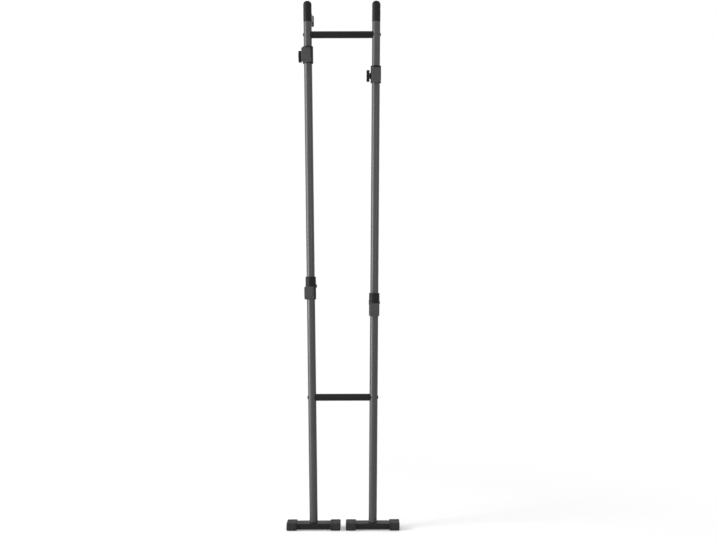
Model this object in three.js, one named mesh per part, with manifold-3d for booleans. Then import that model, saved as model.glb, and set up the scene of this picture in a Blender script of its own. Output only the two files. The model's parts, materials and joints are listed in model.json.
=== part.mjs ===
// Two tier bike rack: two steel posts on T feet, held off the wall by two struts at the top.
// Each post has two holders, whose rubber-lined cradles slide and clamp at any height along it.
// Millimetres, +Z up. The front, where the cradles are, faces -Y, and the wall is at +Y.
// The origin is on the floor, under the middle of the rack's overall box.

import * as THREE from 'three';
import { mergeVertices } from 'three/addons/utils/BufferGeometryUtils.js';
import Module from 'manifold-3d';

const wasm = await Module();
wasm.setup();

// Overall frame: the posts stand further apart at the top than on the floor, by the spread
const overallHeight = 2270;
const wallReach = 280;
const footLength = 230;
const footGap = 23;
const topSpread = 44;

// Clearances
const seatGap = 0.3;
const slideGap = 0.3;
const boltGap = 0.4;
const cutOverrun = 2;
const mergeTolerance = 0.001;

// Smoothness, in sides of a full circle
const postSides = 32;
const smallSides = 20;
const screwSides = 12;
const cornerSides = 4;

// Posts, in two lengths: the upper one's foot is swaged down to plug into the lower one
const postDiameter = 35;
const postWall = 1.5;
const jointHeight = 1138;
const swageLength = 100;
const swageShoulder = 3;

// Feet
const footBarDepth = 70;
const footBarHeight = 25;
const footBarLift = 4;
const footBarWall = 2;
const footBarCorner = 6;
const footStubHeight = 70;
const footStubWall = 2;
const footCapLength = 43;
const footCapDepth = 85;
const footCapHeight = 33;
const footCapCorner = 9;
const footCapEndWall = 6;
const footCapBevel = 1.5;

// Cross bars
const crossBarDiameter = 30;
const crossBarWall = 1.5;
const upperBarDrop = 146;
const lowerBarHeight = 565;
const saddleFlange = 8;
const saddleSpigot = 25;

// Bolts through the posts into the saddles
const crossBoltDiameter = 8;
const crossBoltHead = 14;
const crossBoltHeadHeight = 2.6;
const crossBoltInSaddle = 22;

// Screws at the back of the posts, into the foot stubs
const footScrewDiameter = 6;
const footScrewHead = 10.5;
const footScrewHeadHeight = 3.3;
const footScrewLength = 9;
const footScrewRise = 35;

// Top caps, each with a hollow plug that sits in the post's top
const topCapLength = 90;
const topCapProud = 0.5;
const topCapDome = 16;
const topCapRoof = 3;
const topCapPlugLength = 30;
const topCapPlugWall = 2.6;
const strutSocketDiameter = 31;
const strutSocketReach = 46;
const strutSocketFloor = 18.4;

// Wall struts, plates and pads
const strutDiameter = 25;
const strutWall = 1.5;
const wallPlateWidth = 30;
const wallPlateHeight = 50;
const wallPlateThickness = 4;
const wallPlateCorner = 5;
const wallPadThickness = 3;
const wallScrewHole = 6.5;
const wallScrewSpacing = 36;

// Where the sleeves' feet sit: below the rack's top, or below the joint of the post's tubes
const upperLeftDrop = 270;
const upperRightDrop = 354;
const lowerLeftDrop = 152;
const lowerRightDrop = 223;

// Sleeves
const sleeveDiameter = 45;
const sleeveChamfer = 2;
const upperSleeveHeight = 73;
const lowerSleeveHeight = 98;
const armSocketDiameter = 30;
const armSocketReach = 42;
const lowerArmRise = 22;
const knobBossDiameter = 26;
const knobBossReach = 27;
const upperKnobRise = 30;
const lowerKnobRise = 57;

// Arms
const armDiameter = 20;
const armWall = 2;
const armEndWall = 12;
const armBack = 21;
const armPinDiameter = 4;

// Cradles, measured from the arm's axis and the middle of the U
const cradleReach = 145;
const strapWidth = 30;
const strapThickness = 4;
const strapGap = 56;
const strapDrop = 29;
const strapRise = 13;
const strapBend = 17;
const padInnerLayer = 5;
const padOuterLayer = 4;
const padSideLayer = 3.5;
const padTopLayer = 7;
const armHoleGap = 1;

// Tilt bolts
const tiltBoltDiameter = 6;
const tiltBoltHead = 13;
const tiltBoltHeadHeight = 4;
const tiltBoltLength = 14;
const tiltHeadGap = 1.5;

// Clamp knobs with their moulded-in studs, and nuts
const knobDiameter = 50;
const knobThickness = 13;
const knobLobes = 7;
const knobLobeDepth = 2.4;
const knobBevel = 1.5;
const knobPoints = 56;
const studInKnob = 8;
const studDiameter = 8;
const nutAcrossFlats = 13;
const nutThickness = 5;
const nutSides = 6;

// Each holder's post, the height of its sleeve's foot and the side that its knob is on
const holders = [
  { name: 'upper_left', side: -1, tier: 'upper', height: overallHeight - upperLeftDrop, knob: 'left' },
  { name: 'upper_right', side: 1, tier: 'upper', height: overallHeight - upperRightDrop, knob: 'left' },
  { name: 'lower_left', side: -1, tier: 'lower', height: jointHeight - lowerLeftDrop, knob: 'back' },
  { name: 'lower_right', side: 1, tier: 'lower', height: jointHeight - lowerRightDrop, knob: 'back' },
];

// Sizes worked out from the ones above
const footSpacing = footLength + footGap;
const toeAngle = Math.atan(topSpread / 2 / overallHeight);
const upperBarHeight = overallHeight - upperBarDrop;
const strutHeight = overallHeight - wallPlateHeight / 2;
const postRadius = postDiameter / 2;
const postBore = postRadius - postWall;
const plugRadius = postBore - slideGap;
const footBarTop = footBarLift + footBarHeight;
const postFoot = footBarTop + seatGap + postRadius * Math.sin(toeAngle);
const topCapRadius = postRadius + topCapProud;
const topCapFoot = overallHeight - topCapLength;
const topCapRoofHeight = overallHeight - topCapDome - topCapRoof;
const postTop = topCapFoot - seatGap;
const crossBarRadius = crossBarDiameter / 2;
const crossBoltRadius = crossBoltDiameter / 2;
const footScrewRadius = footScrewDiameter / 2;
const footScrewHeight = footBarTop + footScrewRise;
const padWidth = strapWidth + 2 * padSideLayer;
const padWall = strapThickness + padInnerLayer + padOuterLayer;
const padHalfDepth = strapGap / 2 + strapThickness + padOuterLayer;
const padDrop = strapDrop + padOuterLayer;
const padRise = strapRise + padTopLayer;
const padBend = strapBend + strapThickness + padOuterLayer;
const frontReach = cradleReach + padHalfDepth;
const postPlaneY = (frontReach - wallReach) / 2;
const armFront = cradleReach - strapGap / 2 - strapThickness - seatGap;

// Finishes
function finish(colour, roughness, metalness) {
  return new THREE.MeshStandardMaterial({ color: colour, roughness, metalness });
}
const powderCoat = () => finish('#2b2c2e', 0.5, 0.2);
const darkPowderCoat = () => finish('#1c1d1e', 0.5, 0.2);
const mouldedPlastic = () => finish('#161617', 0.55, 0);
const blackRubber = () => finish('#141414', 0.8, 0);
const greyRubber = () => finish('#3a3b3c', 0.8, 0);
const blackZinc = () => finish('#3c3d40', 0.4, 0.8);
const brightZinc = () => finish('#a8abb0', 0.35, 0.9);

// Turns a geometry into a solid: positions only, shared points merged, faces pointing out
function toSolid(geometry) {
  const bare = geometry.clone();
  bare.deleteAttribute('normal');
  bare.deleteAttribute('uv');
  const merged = mergeVertices(bare, mergeTolerance);
  const position = merged.attributes.position;
  const index = merged.index.array;
  const corners = [new THREE.Vector3(), new THREE.Vector3(), new THREE.Vector3()];
  const triangles = [];
  let volume = 0;
  for (let i = 0; i < index.length; i += 3) {
    const [a, b, c] = index.slice(i, i + 3);
    if (a === b || b === c || c === a) continue;
    triangles.push([a, b, c]);
    corners[0].fromBufferAttribute(position, a);
    corners[1].fromBufferAttribute(position, b);
    corners[2].fromBufferAttribute(position, c);
    volume += corners[0].dot(corners[1].clone().cross(corners[2]));
  }
  const outward = volume > 0 ? triangles : triangles.map(([a, b, c]) => [a, c, b]);
  return new wasm.Manifold(new wasm.Mesh({
    numProp: 3,
    vertProperties: new Float32Array(position.array),
    triVerts: new Uint32Array(outward.flat()),
  }));
}

// Turns a solid back into a geometry
function toGeometry(solid) {
  const mesh = solid.getMesh();
  const geometry = new THREE.BufferGeometry();
  geometry.setAttribute('position', new THREE.BufferAttribute(mesh.vertProperties, 3));
  geometry.setIndex(new THREE.BufferAttribute(mesh.triVerts, 1));
  return geometry;
}

function join(...geometries) {
  return toGeometry(geometries.map(toSolid).reduce((sum, part) => sum.add(part)));
}

function cut(body, ...tools) {
  return toGeometry(tools.map(toSolid).reduce((rest, tool) => rest.subtract(tool), toSolid(body)));
}

// Directions: shapes are made along +Z from the origin, then laid along another axis
const alongX = (geometry) => geometry.rotateY(Math.PI / 2);
const alongMinusX = (geometry) => geometry.rotateY(-Math.PI / 2);
const alongY = (geometry) => geometry.rotateX(-Math.PI / 2);
const alongMinusY = (geometry) => geometry.rotateX(Math.PI / 2);

// A round bar along +Z, from the origin
function rod(radius, length, sides = smallSides) {
  const geometry = new THREE.CylinderGeometry(radius, radius, length, sides);
  return geometry.rotateX(Math.PI / 2).translate(0, 0, length / 2);
}

// A solid of revolution about Z, from points of radius and height
function turned(points, sides = smallSides) {
  const profile = points.map(([radius, height]) => new THREE.Vector2(radius, height));
  return new THREE.LatheGeometry(profile, sides).rotateX(Math.PI / 2);
}

// A pipe along +Z, from the origin
function pipe(outer, inner, length, sides = smallSides) {
  const points = [[inner, 0], [outer, 0], [outer, length], [inner, length], [inner, 0]];
  return turned(points, sides);
}

// A bolt or screw along +Z: a domed head above z = 0 and a shank below it
function headedBolt(shankRadius, headRadius, headHeight, length) {
  const rimShare = 0.4;
  const crownShare = 0.55;
  return turned([
    [0, -length],
    [shankRadius, -length],
    [shankRadius, 0],
    [headRadius, 0],
    [headRadius, headHeight * rimShare],
    [headRadius * crownShare, headHeight],
    [0, headHeight],
  ], screwSides);
}

function roundedRectangle(width, height, corner) {
  const x = width / 2 - corner;
  const y = height / 2 - corner;
  const shape = new THREE.Shape();
  shape.absarc(x, y, corner, 0, Math.PI / 2);
  shape.absarc(-x, y, corner, Math.PI / 2, Math.PI);
  shape.absarc(-x, -y, corner, Math.PI, 1.5 * Math.PI);
  shape.absarc(x, -y, corner, 1.5 * Math.PI, 2 * Math.PI);
  return shape;
}

// Extrudes a shape drawn in Y and Z along X, centred on the origin
const yzPlane = new THREE.Matrix4().makeBasis(
  new THREE.Vector3(0, 1, 0),
  new THREE.Vector3(0, 0, 1),
  new THREE.Vector3(1, 0, 0),
);
function extrudedAlongX(shape, length, bevel = 0) {
  const geometry = new THREE.ExtrudeGeometry(shape, {
    depth: length - 2 * bevel,
    curveSegments: cornerSides,
    bevelEnabled: bevel > 0,
    bevelThickness: bevel,
    bevelSize: bevel,
    bevelOffset: -bevel,
    bevelSegments: 1,
  });
  return geometry.translate(0, 0, bevel - length / 2).applyMatrix4(yzPlane);
}

const rack = new THREE.Group();

function add(name, geometry, material, parent = rack) {
  const mesh = new THREE.Mesh(geometry, material);
  mesh.name = name;
  parent.add(mesh);
  return mesh;
}

// Half the distance between the posts' axes at a height above the floor
function halfSpacingAt(height) {
  return footSpacing / 2 + height * Math.tan(toeAngle);
}

// The distance along a leaning post at which it reaches a height above the floor
function alongPost(height) {
  return height / Math.cos(toeAngle);
}

const sideName = (side) => (side < 0 ? 'left' : 'right');

// The lower post, with holes for the cross bar's bolt and for the screw into the foot
function lowerPost() {
  const body = pipe(postRadius, postBore, jointHeight - postFoot, postSides);
  const screwHole = alongY(rod(footScrewRadius + boltGap, postDiameter, screwSides));
  screwHole.translate(0, 0, footScrewHeight);
  return cut(body.translate(0, 0, postFoot), crossBoltHole(lowerBarHeight), screwHole);
}

// The upper post's swaged foot plugs into the lower post, whose rim carries its shoulder
function upperPost() {
  const foot = jointHeight - swageLength;
  const shoulder = jointHeight + seatGap;
  const body = turned([
    [plugRadius - postWall, foot],
    [plugRadius, foot],
    [plugRadius, shoulder],
    [postRadius, shoulder + swageShoulder],
    [postRadius, postTop],
    [postBore, postTop],
    [postBore, shoulder + swageShoulder],
    [plugRadius - postWall, shoulder],
    [plugRadius - postWall, foot],
  ], postSides);
  return cut(body, crossBoltHole(upperBarHeight));
}

// The hole right through a post for a cross bar's bolt
function crossBoltHole(height) {
  const across = 2 * (postRadius + cutOverrun);
  const hole = alongX(rod(crossBoltRadius + boltGap, across, screwSides));
  return hole.translate(-across / 2, 0, alongPost(height));
}

// The domed cap on the post's top, with a plug below and a socket at its back for the wall strut
function topCap() {
  const arcSteps = 5;
  const dome = [];
  for (let i = 0; i <= arcSteps; i += 1) {
    const angle = (i / arcSteps) * (Math.PI / 2);
    dome.push([
      topCapRadius * Math.cos(angle),
      overallHeight - topCapDome + topCapDome * Math.sin(angle),
    ]);
  }
  dome[arcSteps][0] = 0;
  const plugFoot = topCapFoot - topCapPlugLength;
  const outside = turned([
    [0, plugFoot],
    [plugRadius, plugFoot],
    [plugRadius, topCapFoot],
    [topCapRadius, topCapFoot],
    ...dome,
  ], postSides);
  const socket = alongY(rod(strutSocketDiameter / 2, strutSocketReach)).translate(0, 0, strutHeight);
  const hollowLength = topCapRoofHeight - plugFoot + cutOverrun;
  const hollow = rod(plugRadius - topCapPlugWall, hollowLength, postSides);
  hollow.translate(0, 0, plugFoot - cutOverrun);
  const strutBore = alongY(rod(strutDiameter / 2 + slideGap, strutSocketReach));
  strutBore.translate(0, strutSocketFloor, strutHeight);
  return cut(join(outside, socket), hollow, strutBore);
}

function wallScrewHoles(thickness, y) {
  const length = thickness + 2 * cutOverrun;
  return [-1, 1].map((end) => (
    alongY(rod(wallScrewHole / 2, length, screwSides))
      .translate(0, y - cutOverrun, strutHeight + end * wallScrewSpacing / 2)
  ));
}

// A flat plate or pad against the wall, standing in X and Z
function wallPlate(thickness, y) {
  const shape = roundedRectangle(wallPlateWidth, wallPlateHeight, wallPlateCorner);
  const geometry = new THREE.ExtrudeGeometry(shape, {
    depth: thickness, curveSegments: cornerSides, bevelEnabled: false,
  });
  alongMinusY(geometry).translate(0, y + thickness, strutHeight);
  return cut(geometry, ...wallScrewHoles(thickness, y));
}

// The strut tube with the plate welded over its far end
function wallStrut() {
  const front = strutSocketFloor + seatGap;
  const plateFront = wallReach - wallPadThickness - seatGap - wallPlateThickness;
  const tube = alongY(pipe(
    strutDiameter / 2,
    strutDiameter / 2 - strutWall,
    plateFront + wallPlateThickness / 2 - front,
  ));
  tube.translate(0, front, strutHeight);
  return join(tube, wallPlate(wallPlateThickness, plateFront));
}

// The flat bar that lies across the foot, with the stub that carries the post
function footBar(side) {
  const length = footLength - 2 * (footCapEndWall + seatGap);
  const outside = extrudedAlongX(roundedRectangle(footBarDepth, footBarHeight, footBarCorner), length);
  const inside = extrudedAlongX(roundedRectangle(
    footBarDepth - 2 * footBarWall,
    footBarHeight - 2 * footBarWall,
    footBarCorner - footBarWall,
  ), length + 2 * cutOverrun);
  const tube = cut(outside, inside).translate(0, 0, footBarLift + footBarHeight / 2);
  const stubFoot = footBarTop - footBarWall / 2;
  const stubHeight = footStubHeight + footBarWall / 2;
  const stub = pipe(plugRadius, plugRadius - footStubWall, stubHeight, postSides);
  stub.translate(0, 0, stubFoot).rotateY(side * toeAngle);
  const screwHole = alongY(rod(footScrewRadius + boltGap, plugRadius + cutOverrun, screwSides));
  screwHole.translate(0, 0, footScrewHeight).rotateY(side * toeAngle);
  return cut(join(tube, stub), screwHole);
}

// The rubber boot on a foot bar's end: end is -1 or 1 along X
function footCap(end) {
  const shape = roundedRectangle(footCapDepth, footCapHeight, footCapCorner);
  const outside = extrudedAlongX(shape, footCapLength, footCapBevel);
  const pocketShape = roundedRectangle(
    footBarDepth + 2 * seatGap,
    footBarHeight + 2 * seatGap,
    footBarCorner + seatGap,
  );
  const pocket = extrudedAlongX(pocketShape, footCapLength);
  pocket.translate(-end * footCapEndWall, 0, 0);
  const centre = footLength / 2 - footCapLength / 2;
  const barHeight = footBarLift + footBarHeight / 2 - footCapHeight / 2;
  return cut(outside, pocket.translate(0, 0, barHeight)).translate(end * centre, 0, footCapHeight / 2);
}

// Where a cross bar's tube ends, measured from the rack's middle
function crossBarHalfLength(height) {
  return halfSpacingAt(height) - postRadius - 2 * seatGap - saddleFlange;
}

function crossBar(height) {
  const half = crossBarHalfLength(height);
  const tube = alongX(pipe(crossBarRadius, crossBarRadius - crossBarWall, 2 * half, postSides));
  return tube.translate(-half, 0, height);
}

// The moulded plug between a cross bar's end and the post, hollowed to the post's round
function barSaddle(side, height) {
  const half = crossBarHalfLength(height);
  const seat = half + seatGap;
  const body = alongX(rod(crossBarRadius, halfSpacingAt(height) - seat, postSides));
  body.translate(seat, 0, 0);
  const spigotRadius = crossBarRadius - crossBarWall - slideGap;
  const spigot = alongX(rod(spigotRadius, saddleSpigot + cutOverrun));
  spigot.translate(seat - saddleSpigot, 0, 0);
  const boltBore = alongX(rod(crossBoltRadius + boltGap, halfSpacingAt(height), screwSides));
  boltBore.translate(half - crossBoltInSaddle, 0, 0);
  const postLength = 2 * crossBarDiameter;
  const post = rod(postRadius + seatGap, postLength, postSides).translate(0, 0, -postLength / 2);
  post.rotateY(toeAngle).translate(halfSpacingAt(height), 0, 0);
  const saddle = cut(join(body, spigot), boltBore, post);
  return (side < 0 ? saddle.rotateZ(Math.PI) : saddle).translate(0, 0, height);
}

// A bolt from the post's outer face into the saddle
function crossBolt(side, height) {
  const half = crossBarHalfLength(height);
  const headSeat = halfSpacingAt(height) + postRadius + seatGap;
  const length = headSeat - half + crossBoltInSaddle - cutOverrun;
  const bolt = headedBolt(crossBoltRadius, crossBoltHead / 2, crossBoltHeadHeight, length);
  const laid = side < 0 ? alongMinusX(bolt) : alongX(bolt);
  return laid.translate(side * headSeat, 0, height);
}

// A screw from the back of the post into the foot's stub
function footScrew() {
  const screw = headedBolt(footScrewRadius, footScrewHead / 2, footScrewHeadHeight, footScrewLength);
  return alongY(screw).translate(0, postRadius + seatGap, footScrewHeight);
}

// The standing frame, one side after the other
for (const side of [-1, 1]) {
  const name = sideName(side);

  const foot = new THREE.Group();
  foot.position.set(side * footSpacing / 2, postPlaneY, 0);
  rack.add(foot);
  add(`foot_bar_${name}`, footBar(side), darkPowderCoat(), foot);
  add(`foot_cap_${name}_outer`, footCap(side), blackRubber(), foot);
  add(`foot_cap_${name}_inner`, footCap(-side), blackRubber(), foot);

  const post = new THREE.Group();
  post.position.copy(foot.position);
  post.rotation.y = side * toeAngle;
  rack.add(post);
  add(`lower_post_${name}`, lowerPost(), powderCoat(), post);
  add(`upper_post_${name}`, upperPost(), powderCoat(), post);
  add(`foot_screw_${name}`, footScrew(), blackZinc(), post);
  add(`top_cap_${name}`, topCap(), mouldedPlastic(), post);
  add(`wall_strut_${name}`, wallStrut(), powderCoat(), post);
  const wallPad = wallPlate(wallPadThickness, wallReach - wallPadThickness);
  add(`wall_pad_${name}`, wallPad, blackRubber(), post);
}

// The cross bars, their saddles and their bolts
const crossBars = [
  { name: 'upper', height: upperBarHeight },
  { name: 'lower', height: lowerBarHeight },
];
const postPlane = new THREE.Group();
postPlane.position.y = postPlaneY;
rack.add(postPlane);
for (const { name, height } of crossBars) {
  add(`${name}_cross_bar`, crossBar(height), darkPowderCoat(), postPlane);
  for (const side of [-1, 1]) {
    const end = `${name}_${sideName(side)}`;
    add(`bar_saddle_${end}`, barSaddle(side, height), mouldedPlastic(), postPlane);
    add(`bar_bolt_${end}`, crossBolt(side, height), blackZinc(), postPlane);
  }
}

// A holder's pieces, in a frame whose origin is the sleeve's foot on the post's axis
const layKnob = { left: alongMinusX, back: alongY };

function sleeve(height, armHeight, knobHeight, lay) {
  const radius = sleeveDiameter / 2;
  const barrel = turned([
    [0, 0],
    [radius - sleeveChamfer, 0],
    [radius, sleeveChamfer],
    [radius, height - sleeveChamfer],
    [radius - sleeveChamfer, height],
    [0, height],
  ], postSides);
  const armSocket = alongMinusY(rod(armSocketDiameter / 2, armSocketReach, postSides));
  armSocket.translate(0, 0, armHeight);
  const knobBoss = lay(rod(knobBossDiameter / 2, knobBossReach)).translate(0, 0, knobHeight);
  const bore = rod(postRadius + slideGap, height + 2 * cutOverrun, postSides);
  bore.translate(0, 0, -cutOverrun);
  const armBore = alongMinusY(rod(armDiameter / 2 + slideGap, armSocketReach));
  armBore.translate(0, -(armBack - seatGap), armHeight);
  const studHole = lay(rod(studDiameter / 2 + boltGap, knobBossReach + cutOverrun, screwSides));
  studHole.translate(0, 0, knobHeight);
  const nutPocket = nutBlank(seatGap, nutThickness + seatGap + cutOverrun);
  lay(nutPocket.translate(0, 0, knobBossReach - nutThickness - seatGap)).translate(0, 0, knobHeight);
  const pinHole = alongX(rod(armPinDiameter / 2 + slideGap, sleeveDiameter, screwSides));
  pinHole.translate(-sleeveDiameter / 2, -armPinPlace(), armHeight);
  return cut(join(barrel, armSocket, knobBoss), bore, armBore, studHole, nutPocket, pinHole);
}

function armPinPlace() {
  return (sleeveDiameter / 2 + armSocketReach) / 2;
}

// A hexagonal block along +Z, from the origin
function nutBlank(allowance, length) {
  const cornerRadius = (nutAcrossFlats / 2 + allowance) / Math.cos(Math.PI / nutSides);
  return rod(cornerRadius, length, nutSides);
}

function nut(lay, knobHeight) {
  const thread = rod(studDiameter / 2 + slideGap, nutThickness + 2 * cutOverrun, screwSides);
  const body = cut(nutBlank(0, nutThickness), thread.translate(0, 0, -cutOverrun));
  body.translate(0, 0, knobBossReach - nutThickness);
  return lay(body).translate(0, 0, knobHeight);
}

// The pieces on an arm, in a frame whose origin is where the arm's axis meets the post's.
// The arm is a tube with a solid front end, tapped for the tilt bolt.
function arm() {
  const length = armFront - armBack;
  const body = alongMinusY(rod(armDiameter / 2, length, postSides));
  const inside = alongMinusY(rod(armDiameter / 2 - armWall, length - armEndWall));
  inside.translate(0, cutOverrun, 0);
  const threadLength = armEndWall + 2 * cutOverrun;
  const thread = alongMinusY(rod(tiltBoltDiameter / 2 + slideGap, threadLength, screwSides));
  thread.translate(0, -(length - armEndWall - cutOverrun), 0);
  const pinHole = alongX(rod(armPinDiameter / 2 + slideGap, 2 * armDiameter, screwSides));
  pinHole.translate(-armDiameter, armBack - armPinPlace(), 0);
  return cut(body, inside, thread, pinHole).translate(0, -armBack, 0);
}

function armPin() {
  const length = armSocketDiameter - 2 * sleeveChamfer;
  const pin = alongX(rod(armPinDiameter / 2, length, screwSides));
  return pin.translate(-length / 2, -armPinPlace(), 0);
}

// The tilt bolt's head lies inside the U, on the strap's rear leg
function tiltBolt() {
  const bolt = headedBolt(tiltBoltDiameter / 2, tiltBoltHead / 2, tiltBoltHeadHeight, tiltBoltLength);
  const headSeat = cradleReach - strapGap / 2 + seatGap;
  return alongMinusY(bolt).translate(0, -headSeat, 0);
}

// A lobed knob moulded round its stud, whose tip clamps the post
function knob(lay, knobHeight) {
  const shape = new THREE.Shape();
  const middle = (knobDiameter - knobLobeDepth) / 2;
  for (let i = 0; i < knobPoints; i += 1) {
    const angle = (i / knobPoints) * 2 * Math.PI;
    const radius = middle + (knobLobeDepth / 2) * Math.cos(knobLobes * angle);
    const point = [radius * Math.cos(angle), radius * Math.sin(angle)];
    if (i === 0) shape.moveTo(...point);
    else shape.lineTo(...point);
  }
  const body = new THREE.ExtrudeGeometry(shape, {
    depth: knobThickness - 2 * knobBevel,
    bevelEnabled: true,
    bevelThickness: knobBevel,
    bevelSize: knobBevel,
    bevelOffset: -knobBevel,
    bevelSegments: 1,
  });
  const inner = knobBossReach + seatGap;
  body.translate(0, 0, inner + knobBevel);
  const tip = postRadius + seatGap;
  const stud = rod(studDiameter / 2, inner + studInKnob - tip, screwSides).translate(0, 0, tip);
  return lay(join(body, stud)).translate(0, 0, knobHeight);
}

// A U outline in Y and Z, open at the top, about the arm's axis
function channel(halfDepth, drop, rise, wall, bend) {
  const shape = new THREE.Shape();
  const innerHalf = halfDepth - wall;
  const innerBend = bend - wall;
  const bendHeight = bend - drop;
  shape.moveTo(-innerHalf, rise);
  shape.lineTo(-halfDepth, rise);
  shape.absarc(-halfDepth + bend, bendHeight, bend, Math.PI, 1.5 * Math.PI);
  shape.absarc(halfDepth - bend, bendHeight, bend, 1.5 * Math.PI, 2 * Math.PI);
  shape.lineTo(halfDepth, rise);
  shape.lineTo(innerHalf, rise);
  shape.absarc(innerHalf - innerBend, bendHeight, innerBend, 0, -Math.PI / 2, true);
  shape.absarc(-innerHalf + innerBend, bendHeight, innerBend, -Math.PI / 2, -Math.PI, true);
  shape.closePath();
  return shape;
}

function strapShape(allowance) {
  return channel(
    strapGap / 2 + strapThickness + allowance,
    strapDrop + allowance,
    strapRise + allowance,
    strapThickness + 2 * allowance,
    strapBend + strapThickness + allowance,
  );
}

function cradle() {
  const strap = extrudedAlongX(strapShape(0), strapWidth);
  const hole = alongY(rod(tiltBoltDiameter / 2 + slideGap, strapGap, screwSides));
  return cut(strap, hole).translate(0, -cradleReach, 0);
}

// The rubber moulded round the strap, whose legs end in half rounds
function cradlePad() {
  const legTop = padRise - padWall / 2;
  const outline = channel(padHalfDepth, padDrop, legTop, padWall, padBend);
  const body = extrudedAlongX(outline, padWidth);
  const ends = [-1, 1].map((end) => {
    const round = alongX(rod(padWall / 2, padWidth)).translate(-padWidth / 2, 0, 0);
    return round.translate(0, end * (padHalfDepth - padWall / 2), legTop);
  });
  const strapSpace = extrudedAlongX(strapShape(seatGap), strapWidth + 2 * seatGap);
  const strapMiddle = strapGap / 2 + strapThickness / 2;
  const armHole = alongY(rod(armDiameter / 2 + armHoleGap, padHalfDepth)).translate(0, strapMiddle, 0);
  const headHole = alongY(rod(tiltBoltHead / 2 + tiltHeadGap, strapMiddle));
  return cut(join(body, ...ends), strapSpace, armHole, headHole).translate(0, -cradleReach, 0);
}

// The four holders
const tiers = {
  upper: {
    sleeveHeight: upperSleeveHeight,
    armHeight: armSocketDiameter / 2,
    knobHeight: upperKnobRise,
  },
  lower: {
    sleeveHeight: lowerSleeveHeight,
    armHeight: armSocketDiameter / 2 + lowerArmRise,
    knobHeight: lowerKnobRise,
  },
};
for (const holder of holders) {
  const { sleeveHeight, armHeight, knobHeight } = tiers[holder.tier];
  const lay = layKnob[holder.knob];

  const post = new THREE.Group();
  post.position.set(holder.side * footSpacing / 2, postPlaneY, 0);
  post.rotation.y = holder.side * toeAngle;
  rack.add(post);
  const place = new THREE.Group();
  place.position.z = alongPost(holder.height);
  post.add(place);
  const armPlace = new THREE.Group();
  armPlace.position.z = armHeight;
  place.add(armPlace);

  const addPiece = (name, geometry, material, group) => {
    add(`${holder.name}_${name}`, geometry, material, group);
  };
  addPiece('sleeve', sleeve(sleeveHeight, armHeight, knobHeight, lay), mouldedPlastic(), place);
  addPiece('arm', arm(), powderCoat(), armPlace);
  addPiece('arm_pin', armPin(), brightZinc(), armPlace);
  addPiece('nut', nut(lay, knobHeight), brightZinc(), place);
  addPiece('tilt_bolt', tiltBolt(), blackZinc(), armPlace);
  addPiece('knob', knob(lay, knobHeight), mouldedPlastic(), place);
  addPiece('cradle', cradle(), darkPowderCoat(), armPlace);
  addPiece('cradle_pad', cradlePad(), greyRubber(), armPlace);
}

export default rack;
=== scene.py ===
# %% [markdown]
# A tall two tier bike rack, dressed in Blender over its CAD frame.
#
# The CAD frame holds every piece at its real size and place, but its tubes are faceted and its
# mouldings are plain. This lesson models each piece again as a maker would see it, with round
# tubes, rounded corners, weld beads and moulded rubber, and lets it stand for the CAD piece.
# The first cell loads the frame. Everything is in metres, +Z is up and the wall is at +Y.

# %% Load the fixed frame
import json
import math

import bmesh
import bpy
from mathutils import Euler, Matrix, Vector


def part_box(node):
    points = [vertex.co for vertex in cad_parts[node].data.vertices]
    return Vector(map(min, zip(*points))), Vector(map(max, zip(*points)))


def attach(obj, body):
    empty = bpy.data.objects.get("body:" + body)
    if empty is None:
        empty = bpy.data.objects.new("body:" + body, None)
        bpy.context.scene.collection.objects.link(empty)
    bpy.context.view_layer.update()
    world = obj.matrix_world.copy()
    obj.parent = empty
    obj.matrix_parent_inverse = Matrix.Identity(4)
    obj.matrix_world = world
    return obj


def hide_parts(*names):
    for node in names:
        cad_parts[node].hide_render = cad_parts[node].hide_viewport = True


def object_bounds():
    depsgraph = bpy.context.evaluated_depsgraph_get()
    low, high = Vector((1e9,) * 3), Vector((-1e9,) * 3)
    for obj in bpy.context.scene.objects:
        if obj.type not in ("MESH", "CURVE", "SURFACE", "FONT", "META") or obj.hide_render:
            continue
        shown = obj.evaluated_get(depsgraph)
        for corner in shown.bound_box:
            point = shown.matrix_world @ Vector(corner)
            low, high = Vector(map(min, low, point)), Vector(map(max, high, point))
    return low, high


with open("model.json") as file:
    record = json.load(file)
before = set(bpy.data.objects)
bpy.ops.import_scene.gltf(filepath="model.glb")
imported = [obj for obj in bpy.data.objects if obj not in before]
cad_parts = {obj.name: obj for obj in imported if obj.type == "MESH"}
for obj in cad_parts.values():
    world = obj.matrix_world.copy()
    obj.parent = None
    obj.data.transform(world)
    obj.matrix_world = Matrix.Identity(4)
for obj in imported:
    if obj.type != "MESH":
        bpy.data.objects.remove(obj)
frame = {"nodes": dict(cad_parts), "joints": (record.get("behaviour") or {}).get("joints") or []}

cad_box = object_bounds()
print("CAD box in metres:", [tuple(round(v, 3) for v in corner) for corner in cad_box])

# %% [markdown]
# The camera comes early, so that every trial picture is framed as the photograph is. The rack was
# seen straight from the front, a little to the right of its middle and half way up, so the two
# posts stay upright in the picture and only the lens and the distance set the size. A lens length
# for a 36 mm wide sensor follows from how many pixels wide one metre is at one metre away. The
# plates at the wall show beside the left post alone, which tells how far to the right the camera
# stood, and a small shift puts the rack where it stands in the picture. The left post leans more
# in the picture than the right one does, so the camera was held a trace out of level too.

# %% Camera
MM = 0.001
PICTURE_WIDTH = 716
FOCAL_PIXELS = 1093
SENSOR_WIDTH = 36
CAMERA_X = 100 * MM
CAMERA_SHIFT = -7.8 / PICTURE_WIDTH
CAMERA_ROLL = math.radians(0.15)
CAMERA_HEIGHT = 1112 * MM
CAMERA_DISTANCE = 4.7

foot_low, foot_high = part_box("foot_bar_right")
foot_x = (foot_low.x + foot_high.x) / 2
post_y = (foot_low.y + foot_high.y) / 2

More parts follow.
